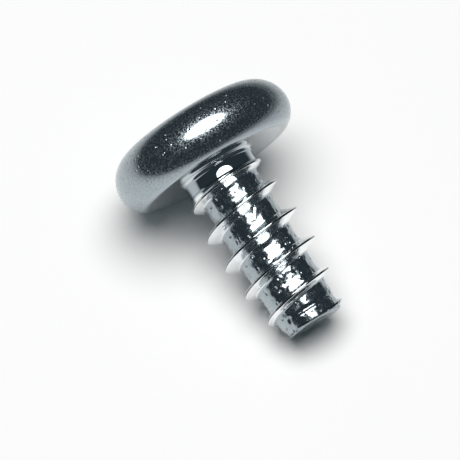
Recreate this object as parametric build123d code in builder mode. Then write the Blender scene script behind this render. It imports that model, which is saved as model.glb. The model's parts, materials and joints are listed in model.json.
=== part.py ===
"""A sheet metal screw with a pan head, a coarse thread and a flat end, lying as it comes to rest.

The screw is modelled upright, with its axis on Z and the head's bearing face at Z = 0. It is then
laid down so that it touches the floor with the head's rim and one thread crest, and the origin is
put under its middle. Sizes are in millimetres and angles in degrees. A depth is measured from the
bearing face towards the end of the shank.
"""

import os
from math import asin, atan2, cos, degrees, hypot, radians, sin, sqrt, tan

from build123d import *

# Head: a low pan with a full round rim and a faintly domed crown
head_radius = 3.5
head_height = 2.25
rim_height = 0.88
lower_rim_radius = 1.0
upper_rim_radius = 1.2
seat_edge_radius = 0.05
seat_inner_radius = 1.75
seat_relief = 0.02

# Shank: a plain neck under the head, a straight core and a slightly tapered flat end
shank_length = 6.65
neck_radius = 1.36
neck_fillet = 0.14
neck_depth = 0.55
core_radius = 1.15
core_depth = 1.45
taper_depth = 5.7
end_radius = 1.0
end_chamfer = 0.06

# Thread: one right-hand ridge with 60 degree flanks that fades out at both ends
pitch = 1.218
crest_radius = 1.68
crest_flat = 0.06
flank_angle = 30
foot_radius = 0.88
thread_end_depth = 6.62
ridge_spans = 6
turns_per_span = 0.9
sections_per_span = 9
fade_turns = 0.2
levelling_turns = 0.7
levelling = 0.9
head_side_depth = 2.1
head_side_fall = 0.12
end_side_depth = 4.0
end_side_fall = 0.14

# Cross recess in the crown
recess_width = 3.6
recess_floor_width = 2.29
recess_end_draft = 26.5
recess_floor_slope = 20
wing_thickness = 1.0
wing_draft = 5.75
recess_core_radius = 1.05
recess_core_draft = 14

ridge_turns = ridge_spans * turns_per_span


def crest_depth(turn):
    """Depth of the crest. The helix levels out in its last part turn, where it meets the neck."""
    levelled = max(0, turn - ridge_turns + levelling_turns)
    return thread_end_depth - pitch * turn + levelling * levelled**2


def crest_reach(turn):
    """Radius of the crest. It falls off towards both ends and sinks into the core at the last."""
    depth = crest_depth(turn)
    reach = crest_radius
    reach -= head_side_fall * max(0, head_side_depth - depth)
    reach -= end_side_fall * max(0, depth - end_side_depth)
    turns_left = min(turn, ridge_turns - turn)
    sunk = max(0, 1 - turns_left / fade_turns)
    return reach - sunk * (reach - foot_radius - crest_flat)


def ridge_section(turn):
    """V section of the ridge, in the plane through the axis at this turn, with the radius as X."""
    around = radians(360 * turn)
    section_plane = Plane(
        origin=(0, 0, -crest_depth(turn)),
        x_dir=(cos(around), sin(around), 0),
        z_dir=(sin(around), -cos(around), 0),
    )
    reach = crest_reach(turn)
    half_crest = crest_flat / 2
    half_foot = half_crest + (reach - foot_radius) * tan(radians(flank_angle))
    with BuildSketch(section_plane) as section:
        with BuildLine():
            Polyline(
                (foot_radius, -half_foot),
                (reach, -half_crest),
                (reach, half_crest),
                (foot_radius, half_foot),
                close=True,
            )
        make_face()
    return section.sketch


# The head and shank are one turned form, drawn as half a section with the radius as X
crown_reach = head_radius - upper_rim_radius
crown_rise = head_height - rim_height - upper_rim_radius
crown_drop = (crown_reach**2 - crown_rise**2) / (2 * crown_rise)
crown_radius = upper_rim_radius + crown_rise + crown_drop
crown_angle = degrees(atan2(crown_reach, crown_drop))
lower_rim_reach = head_radius - lower_rim_radius
lower_rim_angle = degrees(asin(rim_height / lower_rim_radius))
seat_radius = lower_rim_reach + sqrt(lower_rim_radius**2 - rim_height**2)
fillet_reach = neck_radius + neck_fillet
fillet_depth = seat_relief + neck_fillet

with BuildPart() as turned:
    with BuildSketch(Plane.XZ) as half_section:
        with BuildLine():
            CenterArc((0, rim_height - crown_drop), crown_radius, 90 - crown_angle, crown_angle)
            CenterArc((crown_reach, rim_height), upper_rim_radius, 0, 90 - crown_angle)
            CenterArc(
                (lower_rim_reach, rim_height),
                lower_rim_radius,
                -lower_rim_angle,
                lower_rim_angle,
            )
            Polyline((seat_radius, 0), (seat_inner_radius, 0), (fillet_reach, -seat_relief))
            CenterArc((fillet_reach, -fillet_depth), neck_fillet, 90, 90)
            Line((neck_radius, -fillet_depth), (neck_radius, -neck_depth))
            Spline(
                (neck_radius, -neck_depth),
                (core_radius, -core_depth),
                tangents=[(0, -1), (0, -1)],
            )
            Polyline(
                (core_radius, -core_depth),
                (core_radius, -taper_depth),
                (end_radius, end_chamfer - shank_length),
                (end_radius - end_chamfer, -shank_length),
                (0, -shank_length),
                (0, head_height),
            )
        make_face()
        seat_edge = half_section.vertices().sort_by_distance((seat_radius, 0))[0]
        fillet(seat_edge, seat_edge_radius)
    revolve(axis=Axis.Z)

# The recess has the form of its punch: four drafted wings and a core, ground to a cone
recess_depth = (recess_width - recess_floor_width) / 2 / tan(radians(recess_end_draft))
floor_drop = recess_floor_width / 2 * tan(radians(recess_floor_slope))
crown_fall = crown_radius - sqrt(crown_radius**2 - (recess_width / 2) ** 2)
punch_top = head_height + 0.1
floor_height = head_height - crown_fall - recess_depth
tip_height = floor_height - floor_drop
punch_length = punch_top - tip_height
punch_radius = recess_floor_width / 2 + (punch_top - floor_height) * tan(radians(recess_end_draft))

with BuildPart() as punch:
    with BuildSketch(Plane.XY.offset(punch_top)):
        Rectangle(2 * head_radius, wing_thickness)
        Rectangle(wing_thickness, 2 * head_radius)
    extrude(amount=-punch_length, taper=wing_draft)
    with Locations((0, 0, punch_top)):
        Cone(
            bottom_radius=recess_core_radius - punch_length * tan(radians(recess_core_draft)),
            top_radius=recess_core_radius,
            height=punch_length,
            align=(Align.CENTER, Align.CENTER, Align.MAX),
        )
    with BuildSketch(Plane.XZ):
        Polygon(
            (0, tip_height),
            (recess_floor_width / 2, floor_height),
            (punch_radius, punch_top),
            (0, punch_top),
            align=None,
        )
    revolve(axis=Axis.Z, mode=Mode.INTERSECT)

# The thread is a ridge rooted inside the core, lofted along its helix in spans of under a turn
with BuildPart() as upright:
    add(turned.part)
    for span in range(ridge_spans):
        sections = []
        for step in range(sections_per_span + 1):
            turn = (span + step / sections_per_span) * turns_per_span
            sections.append(ridge_section(turn))
        loft(sections)
    split(bisect_by=Plane.XY.offset(-shank_length), keep=Keep.TOP)
    add(punch.part, mode=Mode.SUBTRACT)

# The floor is the tangent line from the last crest on the underside to the head's rim
underside_turn = 0.5
rest_run = crest_depth(underside_turn) + rim_height
rest_drop = lower_rim_reach - crest_reach(underside_turn)
slope = atan2(rest_drop, rest_run) + asin(lower_rim_radius / hypot(rest_drop, rest_run))
lying = Plane(
    origin=(0, 0, 0),
    x_dir=(sin(slope), 0, cos(slope)),
    z_dir=(-cos(slope), 0, sin(slope)),
)

with BuildPart() as screw:
    with Locations(lying.location):
        add(upright.part)

box = screw.part.bounding_box()
under_middle = Vector(box.center().X, box.center().Y, box.min.Z)
screw.part = screw.part.moved(Location(-under_middle))
screw.part.label = "screw"

os.makedirs("parts", exist_ok=True)
export_step(screw.part, "parts/screw.step")
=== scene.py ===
"""Looks of a short sheet metal screw in bright plated steel, lying on a white sheet.

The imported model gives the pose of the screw's axis. The screw's skin is built here once more with
a finer mesh: rolled thread roots, a rounded crest and a shear cut end. Lengths in the classes are
in millimetres, a depth is measured from the bearing face towards the end of the shank, and a turn
is an angle in whole turns. Blender's own units are metres.
"""

from __future__ import annotations

import json
import logging
import math
from collections.abc import Iterable
from dataclasses import dataclass
from enum import Enum
from typing import Any

import bmesh
import bpy
import numpy as np
from mathutils import Matrix, Vector, noise

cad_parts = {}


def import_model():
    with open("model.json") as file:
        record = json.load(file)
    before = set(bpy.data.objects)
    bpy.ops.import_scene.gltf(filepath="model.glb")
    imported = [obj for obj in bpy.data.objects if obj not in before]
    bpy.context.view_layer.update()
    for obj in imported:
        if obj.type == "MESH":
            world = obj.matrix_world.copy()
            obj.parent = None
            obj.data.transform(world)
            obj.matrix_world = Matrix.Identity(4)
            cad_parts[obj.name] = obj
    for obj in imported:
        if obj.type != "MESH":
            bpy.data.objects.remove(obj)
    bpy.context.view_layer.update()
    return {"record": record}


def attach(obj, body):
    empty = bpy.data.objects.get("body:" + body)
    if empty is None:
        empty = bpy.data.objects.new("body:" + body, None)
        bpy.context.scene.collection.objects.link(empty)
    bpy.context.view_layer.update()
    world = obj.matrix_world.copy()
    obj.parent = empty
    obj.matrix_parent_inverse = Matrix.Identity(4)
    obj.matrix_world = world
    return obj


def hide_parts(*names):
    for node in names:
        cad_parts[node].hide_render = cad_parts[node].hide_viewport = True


MM = 0.001
NORMAL_ATTRIBUTE = "screw_normal"
LOG = logging.getLogger("screw")

Array = np.ndarray
Colour = tuple[float, float, float, float]
Pair = tuple[float, float]


class Ray(Enum):
    """Kinds of ray that a stage object can be hidden from."""

    CAMERA = "visible_camera"
    SHADOW = "visible_shadow"
    DIFFUSE = "visible_diffuse"


class Signal:
    """A node's output socket that takes part in Python expressions."""

    def __init__(self, graph: Graph, socket: bpy.types.NodeSocket) -> None:
        """Wrap a socket.

        Args:
            graph: The graph that new nodes go into.
            socket: The output socket to wrap.
        """
        self.graph = graph
        self.socket = socket

    def _math(self, operation: str, *values: Any) -> Signal:
        """Add a Math node.

        Args:
            operation: The Math node's operation.
            values: Numbers or signals for its sockets, in order.

        Returns:
            The node's value.
        """
        inputs = dict(enumerate(values))
        return self.graph.node("ShaderNodeMath", {"operation": operation}, inputs)

    def __add__(self, other: Any) -> Signal:
        """Sum."""
        return self._math("ADD", self, other)

    __radd__ = __add__

    def __sub__(self, other: Any) -> Signal:
        """Difference."""
        return self._math("SUBTRACT", self, other)

    def __rsub__(self, other: Any) -> Signal:
        """Difference, with the signal on the right."""
        return self._math("SUBTRACT", other, self)

    def __mul__(self, other: Any) -> Signal:
        """Product."""
        return self._math("MULTIPLY", self, other)

    __rmul__ = __mul__

    def __truediv__(self, other: Any) -> Signal:
        """Quotient."""
        return self._math("DIVIDE", self, other)

    def __rtruediv__(self, other: Any) -> Signal:
        """Quotient, with the signal below."""
        return self._math("DIVIDE", other, self)

    def clamp(self) -> Signal:
        """The value held between 0 and 1."""
        return self._math("MINIMUM", self._math("MAXIMUM", self, 0.0), 1.0)

    def step(self, low: float, high: float) -> Signal:
        """A soft step.

        Args:
            low: The value that becomes 0.
            high: The value that becomes 1.

        Returns:
            The stepped value.
        """
        settings = {"interpolation_type": "SMOOTHSTEP", "clamp": True}
        inputs = {"Value": self, "From Min": low, "From Max": high}
        return self.graph.node("ShaderNodeMapRange", settings, inputs)


class Graph:
    """The node tree of a material or a world."""

    def __init__(self, owner: Any) -> None:
        """Start an empty tree.

        Args:
            owner: The material or world that owns the tree.
        """
        owner.use_nodes = True
        self.tree = owner.node_tree
        self.tree.nodes.clear()

    def node(self, kind: str, settings: dict[str, Any], inputs: dict[Any, Any], out: Any = 0) -> Signal:
        """Add any node.

        Args:
            kind: The node's type.
            settings: Its properties, set first.
            inputs: Numbers, tuples or signals by socket name or index.
            out: The output to return, by name or index.

        Returns:
            The chosen output.
        """
        made = self.tree.nodes.new(kind)
        for name, value in settings.items():
            setattr(made, name, value)
        for name, value in inputs.items():
            if isinstance(value, Signal):
                self.tree.links.new(value.socket, made.inputs[name])
            else:
                made.inputs[name].default_value = value
        return Signal(self, made.outputs[out])

    def finish(self, shader: Signal, kind: str = "ShaderNodeOutputMaterial") -> None:
        """Connect the shader to the tree's output.

        Args:
            shader: The finished shader.
            kind: The type of the output node.
        """
        made = self.tree.nodes.new(kind)
        self.tree.links.new(shader.socket, made.inputs["Surface"])

    def noise(self, where: Signal, scale: float, detail: float = 2.0, roughness: float = 0.5) -> Signal:
        """Add a noise texture.

        Args:
            where: The place that it is read at.
            scale: Its number of cells per unit.
            detail: Its number of finer layers.
            roughness: The share of each finer layer.

        Returns:
            The noise, about 0.5.
        """
        inputs = {"Vector": where, "Scale": scale, "Detail": detail, "Roughness": roughness}
        return self.node("ShaderNodeTexNoise", {}, inputs, "Fac")

    def length(self, where: Signal) -> Signal:
        """The length of a vector."""
        return self.node("ShaderNodeVectorMath", {"operation": "LENGTH"}, {0: where}, "Value")

    def axis(self, where: Signal, name: str) -> Signal:
        """One coordinate of a vector."""
        return self.node("ShaderNodeSeparateXYZ", {}, {0: where}, name)

    def blend(self, factor: Signal, first: Any, second: Any) -> Signal:
        """Mix two colours.

        Args:
            factor: The share of the second colour.
            first: The first colour.
            second: The second colour.

        Returns:
            The mixed colour.
        """
        settings = {"data_type": "RGBA"}
        return self.node("ShaderNodeMix", settings, {0: factor, 6: first, 7: second}, 2)


def smooth(share: Array) -> Array:
    """A soft step from 0 to 1 as the share goes from 0 to 1."""
    held = np.clip(share, 0, 1)
    return held * held * (3 - 2 * held)


def arc(reach: float, height: float, radius: float, angles: Iterable[float]) -> list[Pair]:
    """Distance from the axis and height of a round edge's points, at angles above the level."""
    return [(reach + radius * math.cos(angle), height + radius * math.sin(angle)) for angle in angles]


@dataclass(frozen=True)
class PlatedSteel:
    """Bright plating over rolled steel: clear reflections, broken up by fine pits and marks.

    The head keeps the fine grain of its die. The rolled thread is brighter and has round pits of
    about 0.1 mm, painted darker as shade, except along the side that faces up. Its flanks and the
    bearing face are rubbed bright, and a band of painted shade runs along the crest. A pair says
    where a mask goes from 0 to 1, and a grain, rise or depth is a height in steps of the relief.
    """

    tint: Colour = (0.375, 0.43, 0.46, 1.0)
    # darker colour: painted shade in the pits, and the grain's random dark tone
    pit_and_grain_shade_tint: Colour = (0.23, 0.27, 0.29, 1.0)
    rubbed_tint: Colour = (0.93, 0.95, 0.96, 1.0)
    # colour of the painted shade along the crest
    crest_shade_tint: Colour = (0.13, 0.15, 0.16, 1.0)
    place: str = "screw_place"
    crest: str = "screw_crest"

    # Zones: heights and distances from the axis. The upper side is a direction, its edge a cosine
    head_edge: Pair = (0.06, 0.12)
    thread_top: float = -0.5
    thread_fade: float = 0.2
    flank_foot: Pair = (1.19, 1.28)
    land_drop: float = 0.085
    land_fade: float = 0.006
    seat_top: Pair = (0.055, 0.06)
    seat_rim: Pair = (2.6, 2.8)
    # where the band of painted shade along the crest starts and ends
    crest_shade_edge: Pair = (0.35, 0.75)
    upper_side: Pair = (0.990, -0.139)
    upper_edge: Pair = (0.93, 0.97)

    # Relief
    relief_step: float = 0.000022
    head_grain: float = 0.14
    thread_grain: float = 0.04
    swell_rise: float = 2.3
    ripple_rise: float = 0.4
    pit_depth: float = 1.7
    nick_depth: float = 1.2
    flank_calm: float = 0.85
    cluster_edge: Pair = (0.36, 0.50)

    # Gloss
    roughness: float = 0.04
    head_haze: float = 0.38
    thread_haze: float = 0.16
    smudge_haze: float = 0.14
    flank_haze: float = 0.07
    haze_edge: Pair = (0.40, 0.64)
    smudge_edge: Pair = (0.46, 0.62)

    # Colour
    # strength of the painted shade in the pits
    pit_painted_shade: float = 0.4
    grain_shade: float = 0.5
    grain_edge: Pair = (0.5, 0.72)
    seat_rub: float = 0.45

    def material(self) -> bpy.types.Material:
        """Build the finish.

        Returns:
            The material. It reads its places on the screw from the mesh's attributes.
        """
        made = bpy.data.materials.new("plated_steel")
        graph = Graph(made)
        where = graph.node("ShaderNodeAttribute", {"attribute_name": self.place}, {}, "Vector")
        crest = graph.node("ShaderNodeAttribute", {"attribute_name": self.crest}, {}, "Fac")
        x, y, height = (graph.axis(where, name) for name in "XYZ")
        level = {0: where, 1: (1.0, 1.0, 0.0)}
        radius = graph.length(graph.node("ShaderNodeVectorMath", {"operation": "MULTIPLY"}, level))
        headed = height.step(*self.head_edge)
        threaded = (self.thread_top - height).step(0.0, self.thread_fade)
        flank = radius.step(*self.flank_foot) * threaded
        rolled = threaded * (1.0 - flank * self.flank_calm)
        land = (height + self.land_drop).step(0.0, self.land_fade)
        seat = land * (1.0 - radius.step(*self.seat_rim)) * (1.0 - height.step(*self.seat_top))
        upper = (x * self.upper_side[0] + y * self.upper_side[1]) / radius

        clusters = graph.noise(where, scale=1.3, detail=1.0).step(*self.cluster_edge)
        large_pits = self._pits(graph, where, scale=3.5, size=0.33) * clusters
        small_pits = self._pits(graph, where, scale=2.1, size=0.17)
        pits = (large_pits + small_pits) * (1.0 - upper.step(*self.upper_edge))
        nicks = self._pits(graph, where, scale=3.6, size=0.2) * clusters * headed
        grain = graph.noise(where, scale=13.0, detail=3.0, roughness=0.6)
        swell = graph.noise(where, scale=2.6, detail=1.0)
        ripple = graph.noise(where, scale=6.3, detail=1.0)
        grained = grain * (headed * self.head_grain + threaded * self.thread_grain)
        uneven = swell * self.swell_rise + ripple * self.ripple_rise - pits * self.pit_depth
        relief = grained + rolled * uneven - nicks * self.nick_depth
        bump = {"Strength": 1.0, "Distance": self.relief_step, "Height": relief}

        haze = graph.noise(where, scale=17.0, roughness=0.7).step(*self.haze_edge)
        smudge = graph.noise(where, scale=6.0, roughness=0.6).step(*self.smudge_edge)
        hazy = haze * (headed * self.head_haze + rolled * self.thread_haze)
        smudged = smudge * rolled * self.smudge_haze
        rough = hazy + smudged + flank * self.flank_haze + self.roughness

        # the pits are painted darker as shade; the grain's dark speckle is the die's own random tone
        dark_grain = grain.step(*self.grain_edge) * (headed + threaded) * self.grain_shade
        dark = (pits * rolled * self.pit_painted_shade + dark_grain).clamp()
        rubbed = (flank + seat * self.seat_rub).clamp()
        plate = graph.blend(rubbed, graph.blend(dark, self.tint, self.pit_and_grain_shade_tint), self.rubbed_tint)
        surface = {
            # a band of painted shade darkens the base colour along the crest
            "Base Color": graph.blend(crest.step(*self.crest_shade_edge), plate, self.crest_shade_tint),
            "Metallic": 1.0,
            "Roughness": rough,
            "Normal": graph.node("ShaderNodeBump", {}, bump),
        }
        shader = graph.node("ShaderNodeBsdfPrincipled", {}, surface)
        graph.finish(shader)
        return made

    def _pits(self, graph: Graph, where: Signal, scale: float, size: float) -> Signal:
        """Round dents, one in each cell.

        Args:
            graph: The finish's tree.
            where: The place on the screw.
            scale: The number of cells per millimetre.
            size: The dent's radius in cells.

        Returns:
            The dents: 1 in the middle, 0 outside.
        """
        inputs = {"Vector": where, "Scale": scale}
        away = graph.node("ShaderNodeTexVoronoi", {"feature": "F1"}, inputs, "Distance")
        return 1.0 - away.step(0.0, size)


@dataclass
class Screw:
    """The screw in its own frame: axis on Z, bearing face at 0, head above it."""

    # Head
    head_radius: float = 3.5
    head_height: float = 2.25
    rim_height: float = 0.88
    lower_rim_radius: float = 1.0
    upper_rim_radius: float = 1.2
    seat_edge_radius: float = 0.05
    seat_hollow: float = 0.052

    # Land under the head, and the slightly hollow neck
    land_radius: float = 1.42
    land_fillet: float = 0.10
    land_end: float = 0.108
    land_tilt: float = 2.45
    neck_radius: float = 1.36
    neck_middle: float = 0.355
    neck_head_curve: float = 0.36
    neck_tip_curve: float = 0.27
    neck_head_reach: float = 0.3
    neck_tip_reach: float = 0.22

    # Root between the ridges. It is slightly hollow and runs out into the neck
    core_radius: float = 1.15
    root_middle: float = 0.42
    root_head_curve: float = 0.13
    root_tip_curve: float = 0.32
    root_head_reach: float = 0.46
    root_tip_reach: float = 0.34
    root_sink: float = 0.008
    hollow_start: float = 1.0
    hollow_turns: float = 0.3
    runout_start: float = 5.1
    runout_turns: float = 0.6
    runout_share: float = 0.78
    runout_span: float = 0.22

    # End: a slight taper with a ring groove, a rounded edge and a shear cut on one side
    shank_length: float = 6.65
    end_depth: float = 6.59
    taper_depth: float = 5.8
    end_radius: float = 1.135
    end_rounding: float = 0.07
    rounding_share: float = 0.93
    cut_start: float = 6.1
    cut_depth: float = 0.16
    cut_turn: float = 0.72
    cut_spread: float = 0.11
    end_groove: float = 0.04
    end_groove_depth: float = 6.10
    groove_spread: float = 0.08

    # Thread: one right-hand ridge that fades out at both ends
    pitch: float = 1.218
    crest_radius: float = 1.68
    crest_flat: float = 0.06
    crest_edge: float = 0.008
    head_flank: float = 20.0
    tip_flank: float = 26.0
    foot_radius: float = 0.88
    thread_end_depth: float = 6.62
    ridge_turns: float = 5.4
    fade_turns: float = 0.2
    levelling_turns: float = 0.9
    levelling: float = 0.6
    head_side_depth: float = 2.1
    head_side_fall: float = 0.12
    end_side_depth: float = 4.0
    end_side_fall: float = 0.16
    head_blend: float = 0.05
    tip_blend: float = 0.06

    # Cross recess
    recess_width: float = 3.6
    recess_floor_width: float = 2.29
    recess_end_draft: float = 26.5
    recess_floor_slope: float = 20.0
    recess_lift: float = 0.1
    wing_thickness: float = 1.0
    wing_draft: float = 5.75
    recess_core_radius: float = 1.05
    recess_core_draft: float = 14.0

    def crest_depth(self, turn: Array) -> Array:
        """Depth of the crest at each turn."""
        levelled = np.maximum(0, turn - self.ridge_turns + self.levelling_turns)
        return self.thread_end_depth - self.pitch * turn + self.levelling * levelled**2

    def crest_reach(self, turn: Array) -> Array:
        """Radius of the crest, which falls off towards both ends.

        Args:
            turn: The angle along the ridge, in turns.

        Returns:
            The radius at each turn.
        """
        depth = self.crest_depth(turn)
        reach = self.crest_radius - self.head_side_fall * np.maximum(0, self.head_side_depth - depth)
        reach = reach - self.end_side_fall * np.maximum(0, depth - self.end_side_depth)
        turns_left = np.minimum(turn, self.ridge_turns - turn)
        sunk = np.clip(1 - turns_left / self.fade_turns, 0, 1)
        return reach - sunk * (reach - self.foot_radius - self.crest_flat)

    def lead_depth(self, turn: Array) -> Array:
        """Depth of the line that follows the crest and goes on evenly past the ridge's start."""
        beyond = np.maximum(0, turn - self.ridge_turns)
        return self.crest_depth(np.minimum(turn, self.ridge_turns)) - self.pitch * beyond

    def neck_at(self, depth: Array) -> Array:
        """Radius of the slightly hollow neck.

        Args:
            depth: The depth below the bearing face.

        Returns:
            The radius at each depth.
        """
        away = np.clip(depth - self.neck_middle, -self.neck_head_reach, self.neck_tip_reach)
        curve = np.where(away < 0, self.neck_head_curve, self.neck_tip_curve)
        return self.neck_radius + curve * away**2

    def root_at(self, turn: Array, depth: Array) -> Array:
        """Radius of the neck and of the rolled root between the ridges.

        Args:
            turn: The angle, in turns.
            depth: The depth below the bearing face.

        Returns:
            The radius. The root runs out into the neck past the ridge's start.
        """
        base = np.mod(turn, 1.0)
        neck = self.neck_at(depth)
        root = neck
        for lap in range(-2, math.ceil(self.ridge_turns) + 2):
            low = self.lead_depth(base + lap)
            high = self.lead_depth(base + lap + 1)
            share = (low - depth) / (low - high)
            upper = base + lap + 1 + smooth((share - self.runout_share) / self.runout_span)
            rise = smooth((upper - self.runout_start) / self.runout_turns)
            away = (share - self.root_middle) * self.pitch
            away = np.clip(away, -self.root_tip_reach, self.root_head_reach)
            curve = np.where(away > 0, self.root_head_curve, self.root_tip_curve)
            hollow = curve * away**2 - self.root_sink
            hollow = hollow * smooth((upper - self.hollow_start) / self.hollow_turns)
            radius = self.core_radius + hollow + (neck - self.core_radius - hollow) * rise
            root = np.where((share >= 0) & (share < 1), radius, root)
        return root

    def end_at(self, turn: Array, depth: Array) -> Array:
        """Radius that the tapered end leaves. Its shear cut takes a little off one side.

        Args:
            turn: The angle, in turns.
            depth: The depth below the bearing face.

        Returns:
            The radius.
        """
        rounding = self.end_depth - self.end_rounding
        taper = np.clip((depth - self.taper_depth) / (rounding - self.taper_depth), 0, 1)
        radius = self.core_radius + (self.end_radius - self.core_radius) * taper
        past = np.clip(depth - rounding, 0, self.end_rounding * self.rounding_share)
        edge = np.sqrt(self.end_rounding**2 - past**2)
        ring = self.end_groove * np.exp(-(((depth - self.end_groove_depth) / self.groove_spread) ** 2))
        cut = smooth((depth - self.cut_start) / (self.end_depth - self.cut_start)) * self.cut_depth
        aside = (np.mod(turn - self.cut_turn + 0.5, 1.0) - 0.5) / self.cut_spread
        return radius - self.end_rounding + edge - ring - cut * np.exp(-(aside**2))

    def skin_at(self, turn: Array, depth: Array) -> Array:
        """Radius of the shank's skin.

        Args:
            turn: The angle, in turns.
            depth: The depth below the bearing face.

        Returns:
            The radius, with the thread's foot blended into the core.
        """
        core = self.root_at(turn, depth)
        core = np.where(depth > self.taper_depth, np.minimum(core, self.end_at(turn, depth)), core)
        skin = core
        half_crest = self.crest_flat / 2
        base = np.mod(turn, 1.0)
        for lap in range(math.ceil(self.ridge_turns)):
            ridge_turn = base + lap
            held = np.minimum(ridge_turn, self.ridge_turns)
            away = depth - self.crest_depth(held)
            slope = 1 / np.tan(np.radians(np.where(away < 0, self.head_flank, self.tip_flank)))
            blend = np.where(away < 0, self.head_blend, self.tip_blend)
            below = np.maximum(0, np.abs(away) - half_crest)
            fall = (np.hypot(below, self.crest_edge) - self.crest_edge) * slope
            flank = np.where(ridge_turn <= self.ridge_turns, self.crest_reach(held) - fall, 0)
            near = np.maximum(0, 1 - np.abs(flank - core) / blend)
            joined = np.maximum(flank, core) + near**2 * blend / 4
            skin = np.maximum(skin, np.where(flank > core - blend, joined, core))
        return skin


class Skin:
    """Points and faces of a closed surface made of rings with the same number of points."""

    def __init__(self, segments: int) -> None:
        """Start an empty surface.

        Args:
            segments: The number of points round a ring.
        """
        self.segments = segments
        self.points: list[Array] = []
        self.crests: list[Array] = []
        self.normals: list[Array] = []
        self.faces: list[tuple[int, ...]] = []
        self.count = 0

    def add(
        self, points: Array, crest: Array | None = None, normals: Array | None = None
    ) -> Array:
        """Add points.

        Args:
            points: Their coordinates, one row each.
            crest: How near each point is to the thread's crest, from 0 to 1.
            normals: Their exact normals, or none where the faces give them.

        Returns:
            Their numbers.
        """
        numbers = np.arange(self.count, self.count + len(points))
        self.points.append(points)
        self.crests.append(np.zeros(len(points)) if crest is None else crest)
        self.normals.append(np.zeros((len(points), 3)) if normals is None else normals)
        self.count += len(points)
        return numbers

    def circle(self, radius: float, height: float) -> Array:
        """Coordinates of a level circle.

        Args:
            radius: Its radius.
            height: Its height.

        Returns:
            Its points, one row each.
        """
        around = np.arange(self.segments) * (2 * math.pi / self.segments)
        level = np.full(self.segments, height)
        return np.column_stack((radius * np.cos(around), radius * np.sin(around), level))

    def bridge(self, upper: Array, lower: Array) -> None:
        """Join two rings with faces that look outwards when upper is the higher one.

        Args:
            upper: The numbers of the upper ring's points.
            lower: The numbers of the lower ring's points.
        """
        for here in range(self.segments):
            there = (here + 1) % self.segments
            self.faces.append((upper[here], lower[here], lower[there], upper[there]))

    def cap(self, ring: Array, centre: int, upwards: bool) -> None:
        """Close a ring with a fan.

        Args:
            ring: The ring.
            centre: The number of the point in its middle.
            upwards: Whether the fan looks up.
        """
        for here in range(self.segments):
            there = (here + 1) % self.segments
            pair = (ring[here], ring[there]) if upwards else (ring[there], ring[here])
            self.faces.append((*pair, centre))


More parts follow.
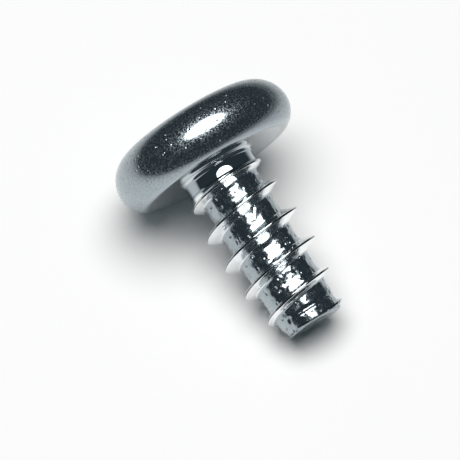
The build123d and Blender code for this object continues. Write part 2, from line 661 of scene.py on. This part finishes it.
@dataclass
class ScrewSkin:
    """Builds the screw's mesh, ring by ring from the recess to the end of the shank.

    The threaded part is one spiral band. Its rows follow the crest, and a row's gap is its
    distance from the crest's line, on either side.
    """

    screw: Screw
    segments: int = 240

    # Recess and crown
    wall_rings: int = 6
    crown_rings: int = 8
    recess_edge: float = 0.04
    outline_rounds: int = 8
    end_share: float = 0.3
    side_share: float = 0.45
    core_margin: float = 1.05

    # Rim, bearing face and neck
    rim_rings: int = 46
    upper_rim_share: float = 0.6
    seat_edge_rise: float = 0.006
    seat_edge_inset: float = 0.012
    seat_inset: float = 0.03
    seat_rings: int = 5
    fillet_rings: int = 6
    land_rings: int = 5
    neck_rings: int = 8
    neck_gap: float = 0.01

    # Threaded band
    skin_start: float = 0.3
    spiral_start: float = -1.5
    spiral_turns: float = 1.7
    gather_turn: float = 0.1
    gather_turns: float = 0.5
    end_gap: float = 0.015
    row_gaps: tuple[float, ...] = (
        0.0, 0.016, 0.03, 0.038, 0.06, 0.09, 0.12, 0.155, 0.19,
        0.23, 0.27, 0.31, 0.35, 0.39, 0.43, 0.47, 0.51, 0.56,
    )
    # Band of painted shade along the crest: its widths and where it fades at the ridge's end
    crest_shade_width: float = 0.03
    crest_shade_tip_width: float = 0.042
    crest_shade_gap: float = 0.1
    crest_shade_turns: float = 0.3
    normal_step: float = 0.002
    normal_turn: float = 0.0005

    # Wear of the rolled skin: height and frequency of each layer, and where it fades
    wear_layers: tuple[Pair, Pair] = ((0.006, 2.1), (0.004, 5.3))
    wear_start: float = 0.5
    wear_rise: float = 0.3
    wear_end: float = 0.02
    wear_fall: float = 0.1

    def build(self) -> Skin:
        """Build the whole surface.

        Returns:
            The surface in the screw's own frame.
        """
        skin = Skin(self.segments)
        crown = self._recess_and_crown(skin)
        neck = self._head(skin, crown)
        end = self._shank(skin, neck)
        self._end(skin, end)
        return skin

    def _dome(self) -> tuple[float, float, float]:
        """Work out the crown's dome.

        Returns:
            Its radius, the height of its centre and its half angle.
        """
        s = self.screw
        reach = s.head_radius - s.upper_rim_radius
        rise = s.head_height - s.rim_height - s.upper_rim_radius
        drop = (reach**2 - rise**2) / (2 * rise)
        return s.upper_rim_radius + rise + drop, s.rim_height - drop, math.atan2(reach, drop)

    def _recess_levels(self) -> tuple[float, float]:
        """Work out the recess's floor.

        Returns:
            The floor's height at its rim and in its middle.
        """
        s = self.screw
        radius, centre, _ = self._dome()
        depth = (s.recess_width - s.recess_floor_width) / 2 / math.tan(math.radians(s.recess_end_draft))
        surface = centre + math.sqrt(radius**2 - (s.recess_width / 2) ** 2)
        floor = surface - depth
        return floor, floor - s.recess_floor_width / 2 * math.tan(math.radians(s.recess_floor_slope))

    def _outline(self, heights: Array, grow: float) -> Array:
        """Points of the recess's outline.

        Args:
            heights: The height of each point.
            grow: How far the outline is moved outwards.

        Returns:
            X and Y of each point, one row each.
        """
        s = self.screw
        quarter = self.segments // 4
        half = quarter // 2
        end_steps, side_steps = round(half * self.end_share), round(half * self.side_share)
        floor, _ = self._recess_levels()
        fall = s.head_height + s.recess_lift - heights
        index = np.arange(self.segments)
        place = index % quarter
        mirrored = place > half
        place = np.where(mirrored, quarter - place, place).astype(float)
        drafts = (s.recess_end_draft, s.wing_draft, s.recess_core_draft)
        end_draft, wing_draft, core_draft = (math.tan(math.radians(draft)) for draft in drafts)
        ends = s.recess_floor_width / 2 + (heights - floor) * end_draft + grow
        wing = s.wing_thickness / 2 - fall * wing_draft + grow
        core = s.recess_core_radius - fall * core_draft + grow
        core = np.maximum(core, wing * self.core_margin)
        end_angle = np.arcsin(wing / ends)
        core_angle = np.arcsin(wing / core)
        on_end = np.clip(place / end_steps, 0, 1)
        on_side = np.clip((place - end_steps) / side_steps, 0, 1)
        on_core = np.clip((place - end_steps - side_steps) / (half - end_steps - side_steps), 0, 1)
        side_x = ends * np.cos(end_angle) * (1 - on_side) + core * np.cos(core_angle) * on_side
        around = core_angle + (math.pi / 4 - core_angle) * on_core
        x = np.where(place <= end_steps, ends * np.cos(end_angle * on_end), side_x)
        y = np.where(place <= end_steps, ends * np.sin(end_angle * on_end), wing)
        x = np.where(on_core > 0, core * np.cos(around), x)
        y = np.where(on_core > 0, core * np.sin(around), y)
        # past the half quarter the outline is the mirror image about the diagonal
        x, y = np.where(mirrored, y, x), np.where(mirrored, x, y)
        turn = (index // quarter) * (math.pi / 2)
        cos, sin = np.cos(turn), np.sin(turn)
        return np.column_stack((x * cos - y * sin, x * sin + y * cos))

    def _recess_and_crown(self, skin: Skin) -> Array:
        """Add the recess and the crown.

        Args:
            skin: The surface to add to.

        Returns:
            The ring where the crown meets the rim.
        """
        s = self.screw
        radius, centre, angle = self._dome()
        _, tip = self._recess_levels()
        floor_slope = math.tan(math.radians(s.recess_floor_slope))
        edge = self.recess_edge

        def on_dome(flat: Array) -> Array:
            """Put level points on the dome."""
            return np.column_stack((flat, np.sqrt(radius**2 - (flat**2).sum(axis=1)) + centre))

        def on_floor(flat: Array) -> Array:
            """Put level points on the recess's floor."""
            return np.column_stack((flat, tip + np.hypot(*flat.T) * floor_slope))

        # the outline depends on its height and the height on the outline, so both are repeated
        surface = np.full(self.segments, s.head_height)
        bottom = np.full(self.segments, tip)
        for _ in range(self.outline_rounds):
            surface = on_dome(self._outline(surface, 0.0))[:, 2]
            bottom = on_floor(self._outline(bottom, 0.0))[:, 2]
        foot = self._outline(bottom, 0.0)
        rings = [skin.add(on_floor(foot * share)) for share in (0.25, 0.5, 0.75)]
        for step in range(self.wall_rings + 1):
            heights = bottom + (surface - edge - bottom) * (step / self.wall_rings)
            rings.append(skin.add(np.column_stack((self._outline(heights, 0.0), heights))))
        # the recess's edge is rounded, each ring with its share of the rise and of the width
        for lift, grow in ((0.6, 0.12), (0.9, 0.4), (1.0, 1.0)):
            points = on_dome(self._outline(surface, grow * edge))
            points[:, 2] -= edge * (1 - lift)
            rings.append(skin.add(points))
        inner = self._outline(surface, edge)
        outer = skin.circle(radius * math.sin(angle), 0.0)[:, :2]
        for step in range(1, self.crown_rings + 1):
            rings.append(skin.add(on_dome(inner + (outer - inner) * (step / self.crown_rings))))
        middle = skin.add(np.array([[0.0, 0.0, tip]]))
        skin.cap(rings[0], middle[0], True)
        for inside, outside in zip(rings, rings[1:]):
            skin.bridge(inside, outside)
        return rings[-1]

    def _head(self, skin: Skin, crown: Array) -> Array:
        """Add the rim, the bearing face and the neck.

        Args:
            skin: The surface to add to.
            crown: The ring where the crown ends.

        Returns:
            The ring where the threaded skin starts.
        """
        s = self.screw
        _, _, crown_angle = self._dome()
        high = math.pi / 2 - crown_angle
        low = math.asin(s.rim_height / s.lower_rim_radius) - s.seat_edge_radius
        upper_rings = round(self.rim_rings * self.upper_rim_share)
        lower_rings = self.rim_rings - upper_rings
        upper_angles = (high - high * step / upper_rings for step in range(1, upper_rings + 1))
        lower_angles = (-low * step / lower_rings for step in range(1, lower_rings + 1))
        lower_reach = s.head_radius - s.lower_rim_radius
        upper_reach = s.head_radius - s.upper_rim_radius
        profile = arc(upper_reach, s.rim_height, s.upper_rim_radius, upper_angles)
        profile += arc(lower_reach, s.rim_height, s.lower_rim_radius, lower_angles)

        seat = lower_reach + math.sqrt(s.lower_rim_radius**2 - s.rim_height**2)
        profile += [(seat - self.seat_edge_inset, self.seat_edge_rise), (seat - self.seat_inset, 0.0)]
        fillet_reach = s.land_radius + s.land_fillet
        for step in range(1, self.seat_rings + 1):
            share = step / self.seat_rings
            reach = seat - self.seat_inset + (fillet_reach - seat + self.seat_inset) * share
            profile.append((reach, s.seat_hollow * share))
        for step in range(1, self.fillet_rings + 1):
            around = math.pi / 2 * step / self.fillet_rings
            rise = s.seat_hollow - s.land_fillet * (1 - math.cos(around))
            profile.append((fillet_reach - s.land_fillet * math.sin(around), rise))
        start = s.seat_hollow - s.land_fillet
        for fall in np.linspace(0, start + s.land_end, self.land_rings + 1)[1:]:
            profile.append((s.land_radius - fall * math.tan(math.radians(s.land_tilt)), start - fall))
        for depth in np.linspace(s.land_end + self.neck_gap, self.skin_start, self.neck_rings):
            profile.append((float(s.neck_at(depth)), -float(depth)))

        ring = crown
        for radius, height in profile:
            below = skin.add(skin.circle(radius, height))
            skin.bridge(ring, below)
            ring = below
        return ring

    def _lead(self, turn: Array) -> Array:
        """Depth of the mesh row that follows the crest, held within the threaded skin.

        Args:
            turn: The angle along the spiral, in turns.

        Returns:
            The depth. Below the gathering turn the rows close up towards the flat end.
        """
        s = self.screw
        end = s.end_depth - self.end_gap
        at_end = self.gather_turn
        last = float(s.crest_depth(np.array(at_end)))
        eased = last + (end - last) * (at_end - turn) / (at_end + self.gather_turns)
        depth = np.where(turn < at_end, eased, s.lead_depth(turn))
        return np.clip(depth, self.skin_start, end)

    def _shank(self, skin: Skin, neck: Array) -> Array:
        """Add the threaded shank.

        Args:
            skin: The surface to add to.
            neck: The ring above it.

        Returns:
            The ring below it.
        """
        s = self.screw
        gaps = np.array(self.row_gaps)
        share = np.concatenate((gaps, s.pitch - gaps[::-1][:-1])) / s.pitch
        count = math.ceil((s.ridge_turns + self.spiral_turns) * self.segments)
        turn = self.spiral_start + np.arange(count + 1) / self.segments
        low, high = self._lead(turn), self._lead(turn + 1)
        depth = low[:, None] + (high - low)[:, None] * share[None, :]
        grid_turn = np.broadcast_to(turn[:, None], depth.shape)
        radius = self._radius(grid_turn, depth)
        around = grid_turn * 2 * math.pi
        points = np.stack((radius * np.cos(around), radius * np.sin(around), -depth), axis=-1)
        # the crest value marks the band of painted shade along the crest
        near_crest = np.minimum(share / self.crest_shade_width, (1 - share) / self.crest_shade_tip_width) * s.pitch
        crest_turn = np.where(share < 0.5, turn[:, None], turn[:, None] + 1)
        ridge = smooth((s.ridge_turns - self.crest_shade_gap - crest_turn) / self.crest_shade_turns)
        numbers = skin.add(
            points.reshape(-1, 3),
            (np.exp(-(near_crest**2)) * ridge).ravel(),
            self._normals(grid_turn, depth, radius).reshape(-1, 3),
        ).reshape(depth.shape)

        # each lap's last row joins the next lap's first, and the last lap joins the neck
        wide = len(share)
        first = round(self.spiral_start * self.segments)
        for step in range(count):
            for column in range(wide):
                corners = []
                for move, side in ((0, 0), (1, 0), (1, 1), (0, 1)):
                    at, row = step + move, column + side
                    if row < wide:
                        corners.append(numbers[at, row])
                    elif at + self.segments <= count:
                        corners.append(numbers[at + self.segments, 0])
                    else:
                        corners.append(neck[(at + first) % self.segments])
                skin.faces.append(tuple(corners))
        return numbers[: self.segments, 0]

    def _radius(self, turn: Array, depth: Array) -> Array:
        """Radius of the worn shank at each turn and depth."""
        return self.screw.skin_at(turn, depth) + self._wear(turn, depth)

    def _normals(self, turn: Array, depth: Array, radius: Array) -> Array:
        """Exact normals of the worn shank, which the long thin faces couldn't give.

        Args:
            turn: The angle, in turns.
            depth: The depth below the bearing face.
            radius: The radius there.

        Returns:
            The normals, in the last axis.
        """
        step, part = self.normal_step, self.normal_turn
        fall = (self._radius(turn, depth + step) - self._radius(turn, depth - step)) / (2 * step)
        swing = self._radius(turn + part, depth) - self._radius(turn - part, depth)
        across = swing / (4 * math.pi * part) / radius
        around = turn * 2 * math.pi
        x = np.cos(around) + across * np.sin(around)
        y = np.sin(around) - across * np.cos(around)
        normals = np.stack((x, y, fall), axis=-1)
        return normals / np.linalg.norm(normals, axis=-1, keepdims=True)

    def _wear(self, turn: Array, depth: Array) -> Array:
        """Small unevenness of the rolled skin.

        Args:
            turn: The angle, in turns.
            depth: The depth below the bearing face.

        Returns:
            The height of the skin above its true form, in millimetres.
        """
        s = self.screw
        around = turn * 2 * math.pi
        x = s.core_radius * np.cos(around)
        y = s.core_radius * np.sin(around)
        lifts = np.empty(depth.size)
        for index, place in enumerate(zip(x.ravel(), y.ravel(), depth.ravel())):
            spot = Vector(place)
            lifts[index] = sum(height * noise.noise(spot * often) for height, often in self.wear_layers)
        rise = smooth((depth - self.wear_start) / self.wear_rise)
        fall = smooth((s.end_depth - self.wear_end - depth) / self.wear_fall)
        return lifts.reshape(depth.shape) * (rise * fall)

    def _end(self, skin: Skin, ring: Array) -> None:
        """Add the flat end.

        Args:
            skin: The surface to add to.
            ring: The last ring of the shank.
        """
        s = self.screw
        # the spiral's first point stands half a turn on, so the end's circles are turned to match
        offset = -round(0.5 * self.segments)
        for radius in (s.end_radius - s.end_rounding, s.end_radius * 0.6, s.end_radius * 0.3):
            below = skin.add(np.roll(skin.circle(radius, -s.end_depth), offset, axis=0))
            skin.bridge(ring, below)
            ring = below
        middle = skin.add(np.array([[0.0, 0.0, -s.end_depth]]))
        skin.cap(ring, middle[0], False)


@dataclass
class ScrewPiece:
    """The screw as a Blender object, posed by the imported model's mounts."""

    screw: Screw
    finish: PlatedSteel
    record: dict[str, Any]
    merge_distance: float = 1e-8
    least_edge: float = 1e-9
    sharp_angle: float = 50.0

    def pose(self) -> Matrix:
        """Read the screw's pose from its thread mount.

        Returns:
            The matrix from the screw's own frame to the row's, in millimetres.
        """
        mount = next(m for m in self.record["mounts"] if m["name"] == "thread")
        up = -Vector(mount["axis"])
        middle = Vector(mount["pos_m"]) / MM
        bearing = middle + up * (self.screw.shank_length / 2)
        side = Vector((0, 1, 0))
        matrix = Matrix((side.cross(up), side, up)).transposed().to_4x4()
        return Matrix.Translation(bearing) @ matrix

    def build(self) -> bpy.types.Object:
        """Make the object, with its places stored for the finish.

        Returns:
            The object.
        """
        skin = ScrewSkin(self.screw).build()
        pose = np.array(self.pose())
        own = np.concatenate(skin.points)
        row = own @ pose[:3, :3].T + pose[:3, 3]
        normals = np.concatenate(skin.normals) @ pose[:3, :3].T
        mesh = bpy.data.meshes.new("screw_skin")
        mesh.from_pydata((row * MM).tolist(), [], skin.faces)
        for name, kind, key, values in (
            (self.finish.place, "FLOAT_VECTOR", "vector", own),
            (self.finish.crest, "FLOAT", "value", np.concatenate(skin.crests)),
            (NORMAL_ATTRIBUTE, "FLOAT_VECTOR", "vector", normals),
        ):
            attribute = mesh.attributes.new(name, kind, "POINT")
            attribute.data.foreach_set(key, values.astype(np.float32).ravel())
        self._clean(mesh)
        self._shade(mesh)
        made = bpy.data.objects.new("screw_skin", mesh)
        bpy.context.scene.collection.objects.link(made)
        mesh.materials.append(self.finish.material())
        return made

    def _clean(self, mesh: bpy.types.Mesh) -> None:
        """Merge the points that meet and turn all faces outwards.

        Args:
            mesh: The screw's mesh.
        """
        work = bmesh.new()
        work.from_mesh(mesh)
        bmesh.ops.remove_doubles(work, verts=work.verts, dist=self.merge_distance)
        bmesh.ops.dissolve_degenerate(work, dist=self.least_edge, edges=work.edges)
        bmesh.ops.recalc_face_normals(work, faces=work.faces)
        open_edges = sum(1 for edge in work.edges if len(edge.link_faces) != 2)
        work.to_mesh(mesh)
        work.free()
        LOG.info("skin: %d faces, %d open edges", len(mesh.polygons), open_edges)

    def _shade(self, mesh: bpy.types.Mesh) -> None:
        """Shade the surface smooth between its sharp edges, with the exact normals where known.

        Args:
            mesh: The screw's cleaned mesh.
        """
        for face in mesh.polygons:
            face.use_smooth = True
        mesh.set_sharp_from_angle(angle=math.radians(self.sharp_angle))
        normals = np.empty(3 * len(mesh.vertices), np.float32)
        mesh.attributes[NORMAL_ATTRIBUTE].data.foreach_get("vector", normals)
        mesh.normals_split_custom_set_from_vertices(normals.reshape(-1, 3).tolist())
        mesh.attributes.remove(mesh.attributes[NORMAL_ATTRIBUTE])


@dataclass
class Studio:
    """A white sheet in a dark room, under one elliptical soft box that leans a little."""

    sheet_radius: float = 45.0
    sheet_colour: Colour = (0.97, 0.975, 0.972, 1.0)
    room_radius: float = 900.0
    room_glow: Colour = (0.045, 0.060, 0.069, 1.0)
    box_colour: tuple[float, float, float] = (1.0, 0.985, 0.975)
    box_height: float = 600.0
    box_half_angle_x: float = 19.5
    box_half_angle_y: float = 26.0
    box_lean: float = -3.0
    box_side: float = -4.0
    white_level: float = 0.955
    # The card of painted shade that only the metal mirrors
    card_side: float = -4.0
    card_lift: float = 0.05
    card_inner: float = 5.0
    card_outer: float = 34.0
    card_share: float = 0.9

    def build(self) -> None:
        """Make the sheet, the card of painted shade, the room, the soft box and the backdrop."""
        self._sheet()
        self._painted_shade_card()
        self._room()
        self._soft_box()
        self._backdrop()

    def _object(self, name: str, form: bmesh.types.BMesh, finish: Any) -> bpy.types.Object:
        """Make an object of a form, which is used up.

        Args:
            name: The object's name.
            form: Its form.
            finish: Its material.

        Returns:
            The object.
        """
        mesh = bpy.data.meshes.new(name)
        form.to_mesh(mesh)
        form.free()
        mesh.materials.append(finish)
        made = bpy.data.objects.new(name, mesh)
        bpy.context.scene.collection.objects.link(made)
        return made

    def _disc(self) -> bmesh.types.BMesh:
        """Make a level disc of the sheet's size.

        Returns:
            Its form.
        """
        form = bmesh.new()
        bmesh.ops.create_circle(form, cap_ends=True, segments=96, radius=self.sheet_radius * MM)
        return form

    def _sheet(self) -> None:
        """The white sheet that the screw lies on."""
        paper = bpy.data.materials.new("white_sheet")
        graph = Graph(paper)
        shader = graph.node("ShaderNodeBsdfDiffuse", {}, {"Color": self.sheet_colour})
        graph.finish(shader)
        made = self._object("sheet", self._disc(), paper)

    def _painted_shade_card(self) -> None:
        """A card of painted shade round the screw, out of the picture, that only the metal mirrors.

        It is clear in the middle and darker outwards, as painted shade of the lit sheet's far parts.
        """
        card = bpy.data.materials.new("painted_shade_card")
        graph = Graph(card)
        away = graph.length(graph.node("ShaderNodeTexCoord", {}, {}, "Object"))
        share = away.step(self.card_inner * MM, self.card_outer * MM) * self.card_share
        dark = graph.node("ShaderNodeEmission", {}, {"Color": self.room_glow, "Strength": 1.0})
        clear = graph.node("ShaderNodeBsdfTransparent", {}, {})
        shader = graph.node("ShaderNodeMixShader", {}, {0: share, 1: clear, 2: dark})
        graph.finish(shader)
        made = self._object("painted_shade_card", self._disc(), card)
        made.location = (0, self.card_side * MM, self.card_lift * MM)
        # hidden from the camera, from shadows and from the sheet's light: only a painted reflection of
        # shade
        for ray in (Ray.CAMERA, Ray.SHADOW, Ray.DIFFUSE):
            setattr(made, ray.value, False)

    def _room(self) -> None:
        """The dark room that the metal mirrors. The camera looks past it."""
        dark = bpy.data.materials.new("dark_room")
        graph = Graph(dark)
        shader = graph.node("ShaderNodeEmission", {}, {"Color": self.room_glow, "Strength": 1.0})
        graph.finish(shader)
        form = bmesh.new()
        bmesh.ops.create_icosphere(form, subdivisions=4, radius=self.room_radius * MM)
        made = self._object("room", form, dark)
        setattr(made, Ray.CAMERA.value, False)

    def _soft_box(self) -> None:
        """The soft box, with the power that makes a white sheet render at the white level."""
        angles = (math.radians(self.box_half_angle_x), math.radians(self.box_half_angle_y))
        lamp = bpy.data.lights.new("soft_box", "AREA")
        lamp.shape = "ELLIPSE"
        lamp.color = self.box_colour
        lamp.size, lamp.size_y = (2 * math.tan(angle) * self.box_height * MM for angle in angles)
        radiance = self.white_level / (math.sin(angles[0]) * math.sin(angles[1]))
        lamp.energy = radiance * math.pi * (math.pi / 4 * lamp.size * lamp.size_y)
        made = bpy.data.objects.new("soft_box", lamp)
        lean, side = (math.tan(math.radians(angle)) for angle in (self.box_lean, self.box_side))
        made.location = Vector((lean, side, 1)) * (self.box_height * MM)
        setattr(made, Ray.CAMERA.value, False)
        bpy.context.scene.collection.objects.link(made)
        LOG.info("soft box radiance %.2f", radiance)

    def _backdrop(self) -> None:
        """A white backdrop behind the sheet."""
        world = bpy.data.worlds.new("backdrop")
        graph = Graph(world)
        shader = graph.node("ShaderNodeBackground", {}, {"Color": (1, 1, 1, 1), "Strength": 1.0})
        graph.finish(shader, "ShaderNodeOutputWorld")
        bpy.context.scene.world = world


@dataclass
class PhotoCamera:
    """A long lens at the photograph's angle."""

    tip_tilt: float = 7.55
    axis_turn: float = 18.0
    picture_slant: float = 57.9
    distance: float = 150.0
    frame_width: float = 16.46
    frame_pixels: int = 460
    bearing_pixel: Pair = (216.6, 168.3)
    sensor: float = 36.0
    clip: Pair = (0.001, 10.0)

    def build(self, pose: Matrix) -> None:
        """Make the camera so that the bearing face's centre falls on its pixel.

        The screw's tip leans towards the camera by the tip's tilt, the camera stands the axis's
        turn round the screw from straight above it, and the tip points down to the right in the
        picture by the slant.

        Args:
            pose: The screw's pose in the row's frame, in millimetres.
        """
        above, side, tip = (pose.col[0].to_3d(), pose.col[1].to_3d(), -pose.col[2].to_3d())
        angles = (self.tip_tilt, self.axis_turn, self.picture_slant)
        tilt, turn, slant = (math.radians(angle) for angle in angles)
        facing = above * math.cos(turn) - side * math.sin(turn)
        back = tip * math.sin(tilt) + facing * math.cos(tilt)
        along = (tip - back * tip.dot(back)).normalized()
        across = back.cross(along)
        right = along * math.cos(slant) + across * math.sin(slant)
        up = across * math.cos(slant) - along * math.sin(slant)
        pixel = self.frame_width / self.frame_pixels
        middle = self.frame_pixels / 2
        x, y = self.bearing_pixel
        target = pose.translation + right * ((middle - x) * pixel) - up * ((middle - y) * pixel)
        lens = bpy.data.cameras.new("photo_camera")
        lens.sensor_width = self.sensor
        lens.lens = self.sensor * self.distance / self.frame_width
        lens.clip_start, lens.clip_end = self.clip
        made = bpy.data.objects.new("photo_camera", lens)
        turned = Matrix((right, up, back)).transposed().to_4x4()
        made.matrix_world = Matrix.Translation((target + back * self.distance) * MM) @ turned
        bpy.context.scene.collection.objects.link(made)
        bpy.context.scene.camera = made


def main() -> None:
    """Build the screw and its studio."""
    logging.basicConfig(level=logging.INFO, format="%(name)s: %(message)s")
    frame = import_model()
    screw = Screw()
    piece = ScrewPiece(screw, PlatedSteel(), frame["record"])
    made = piece.build()
    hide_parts("screw")
    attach(made, "root")
    LOG.info("screw: %d faces", len(made.data.polygons))
    Studio().build()
    PhotoCamera().build(piece.pose())
    bpy.context.scene.view_settings.view_transform = "Standard"


if __name__ == "__main__":
    main()
